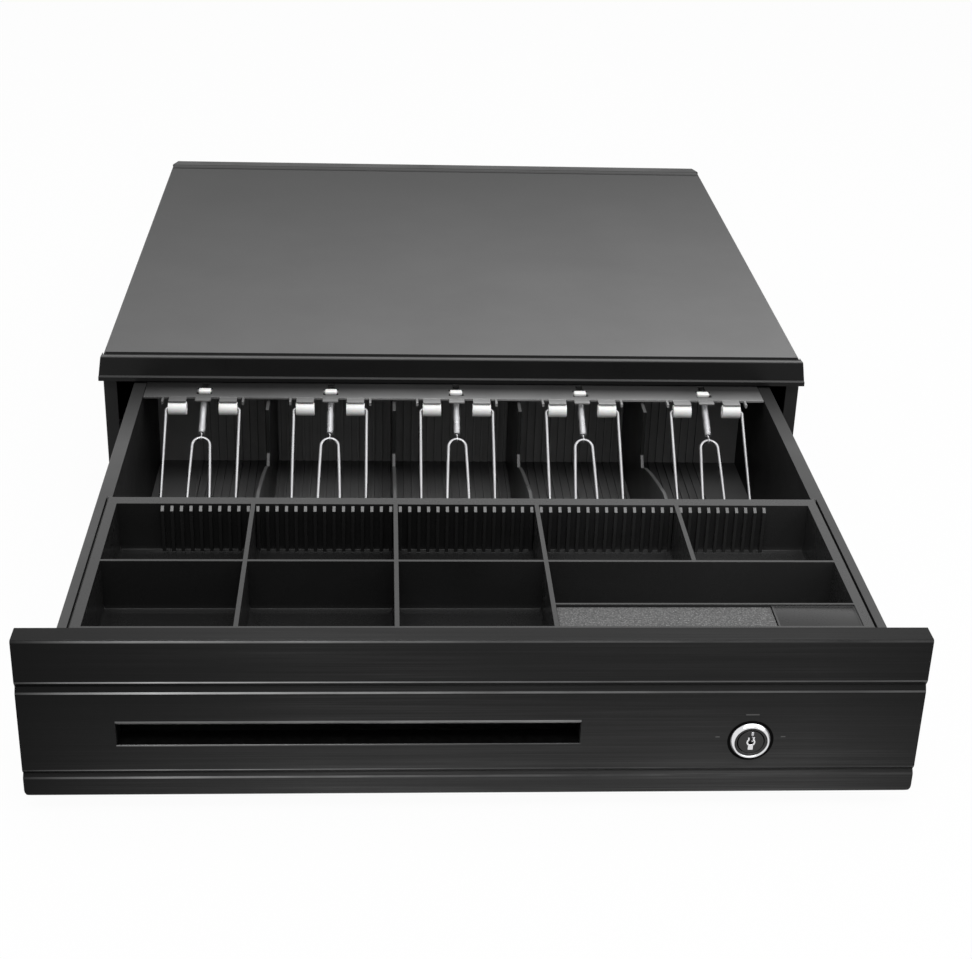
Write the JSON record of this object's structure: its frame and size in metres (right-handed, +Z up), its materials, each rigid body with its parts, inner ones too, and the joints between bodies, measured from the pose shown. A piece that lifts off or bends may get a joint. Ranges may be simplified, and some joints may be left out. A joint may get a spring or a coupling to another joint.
{
  "type": "cash drawer",
  "caption": "Steel counter cash drawer with bill cells under sprung wire clips, lift-out coin tray, media slot, key lock and latch release.",
  "frame": {"origin": "centre of the open drawer unit's footprint, on the counter", "axes": "+Z up, -Y out of the cabinet's front, the way the drawer opens, +X to the right as seen from the front"},
  "size_m": [0.4144, 0.6972, 0.106],
  "materials": {
    "black_powder_steel": "satin powder coat",
    "black_moulding": "matt",
    "brushed_black": "horizontally brushed, satin",
    "zinc_steel": "zinc plated",
    "rail_steel": "satin",
    "chrome": "polished",
    "white_nylon": "satin",
    "grey_foam": "speckled foam",
    "black_rubber": "matt",
    "dark_resin": "satin"
  },
  "bodies": {
    "cabinet": {"cabinet_shell": "black_powder_steel", "base_plate": "black_powder_steel", "rear_panel": "black_powder_steel", "front_trim": "black_moulding", "rear_trim": "black_moulding", "foot_front_left": "black_rubber", "foot_front_right": "black_rubber", "foot_rear_left": "black_rubber", "foot_rear_right": "black_rubber", "outer_rail_left": "zinc_steel", "outer_rail_right": "zinc_steel", "latch_bracket": "zinc_steel", "solenoid": "dark_resin", "ejector_barrel": "black_moulding", "microswitch": "dark_resin", "cable_grommet": "black_rubber"},
    "drawer": {"drawer_pan": "black_powder_steel", "fascia": "brushed_black", "cash_insert": "black_moulding", "bill_divider_1": "black_moulding", "bill_divider_2": "black_moulding", "bill_divider_3": "black_moulding", "bill_divider_4": "black_moulding", "clip_rail": "rail_steel", "clip_barrel_1_left": "white_nylon", "clip_barrel_1_right": "white_nylon", "clip_barrel_2_left": "white_nylon", "clip_barrel_2_right": "white_nylon", "clip_barrel_3_left": "white_nylon", "clip_barrel_3_right": "white_nylon", "clip_barrel_4_left": "white_nylon", "clip_barrel_4_right": "white_nylon", "clip_barrel_5_left": "white_nylon", "clip_barrel_5_right": "white_nylon", "clip_spring_1": "chrome", "clip_spring_2": "chrome", "clip_spring_3": "chrome", "clip_spring_4": "chrome", "clip_spring_5": "chrome", "lock_body": "chrome", "lock_nut": "zinc_steel", "striker": "zinc_steel", "inner_rail_left": "zinc_steel", "inner_rail_right": "zinc_steel"},
    "middle_rail_left": {"middle_rail_left": "zinc_steel"},
    "middle_rail_right": {"middle_rail_right": "zinc_steel"},
    "coin_tray": {"coin_tray": "black_moulding", "shelf_pad": "grey_foam"},
    "bail_1": {"bail_1": "chrome"},
    "bail_2": {"bail_2": "chrome"},
    "bail_3": {"bail_3": "chrome"},
    "bail_4": {"bail_4": "chrome"},
    "bail_5": {"bail_5": "chrome"},
    "lock_plug": {"lock_plug": "chrome", "lock_cam": "zinc_steel"},
    "latch_lever": {"latch_lever": "zinc_steel"},
    "solenoid_plunger": {"solenoid_plunger": "zinc_steel"},
    "ejector_rod": {"ejector_rod": "zinc_steel"}
  },
  "joints": [
    {"name": "drawer_slide", "type": "slide", "parent": "cabinet", "child": "drawer", "axis": [0, -1, 0], "range_m": [-0.281, 0]},
    {"name": "middle_rail_left_slide", "type": "slide", "parent": "cabinet", "child": "middle_rail_left", "axis": [0, -1, 0], "range_m": [-0.1405, 0]},
    {"name": "middle_rail_right_slide", "type": "slide", "parent": "cabinet", "child": "middle_rail_right", "axis": [0, -1, 0], "range_m": [-0.1405, 0]},
    {"name": "coin_tray_lift", "type": "slide", "parent": "drawer", "child": "coin_tray", "axis": [0, 0, 1], "range_m": [0, 0.06]},
    {"name": "bail_1_hinge", "type": "hinge", "parent": "drawer", "child": "bail_1", "pos_m": [-0.145, -0.0824, 0.0859], "axis": [-1, 0, 0], "range_deg": [0, 100], "deforming": ["clip_spring_1"]},
    {"name": "bail_2_hinge", "type": "hinge", "parent": "drawer", "child": "bail_2", "pos_m": [-0.0725, -0.0824, 0.0859], "axis": [-1, 0, 0], "range_deg": [0, 100], "deforming": ["clip_spring_2"]},
    {"name": "bail_3_hinge", "type": "hinge", "parent": "drawer", "child": "bail_3", "pos_m": [0, -0.0824, 0.0859], "axis": [-1, 0, 0], "range_deg": [0, 100], "deforming": ["clip_spring_3"]},
    {"name": "bail_4_hinge", "type": "hinge", "parent": "drawer", "child": "bail_4", "pos_m": [0.0725, -0.0824, 0.0859], "axis": [-1, 0, 0], "range_deg": [0, 100], "deforming": ["clip_spring_4"]},
    {"name": "bail_5_hinge", "type": "hinge", "parent": "drawer", "child": "bail_5", "pos_m": [0.145, -0.0824, 0.0859], "axis": [-1, 0, 0], "range_deg": [0, 100], "deforming": ["clip_spring_5"]},
    {"name": "lock_turn", "type": "hinge", "parent": "drawer", "child": "lock_plug", "pos_m": [0.1265, -0.3467, 0.0378], "axis": [0, -1, 0], "range_deg": [-90, 90]},
    {"name": "latch_hinge", "type": "hinge", "parent": "cabinet", "child": "latch_lever", "pos_m": [0, 0.3206, 0.046], "axis": [-1, 0, 0], "range_deg": [-14, 0]},
    {"name": "plunger_slide", "type": "slide", "parent": "cabinet", "child": "solenoid_plunger", "axis": [0, 0, 1], "range_m": [0, 0.0035]},
    {"name": "ejector_slide", "type": "slide", "parent": "cabinet", "child": "ejector_rod", "axis": [0, -1, 0], "range_m": [0, 0.015]}
  ],
  "couplings": [
    {"joint": "middle_rail_left_slide", "follows": "drawer_slide", "ratio": 0.5},
    {"joint": "middle_rail_right_slide", "follows": "drawer_slide", "ratio": 0.5},
    {"joint": "plunger_slide", "follows": "latch_hinge", "m_per_rad": -0.0143}
  ]
}
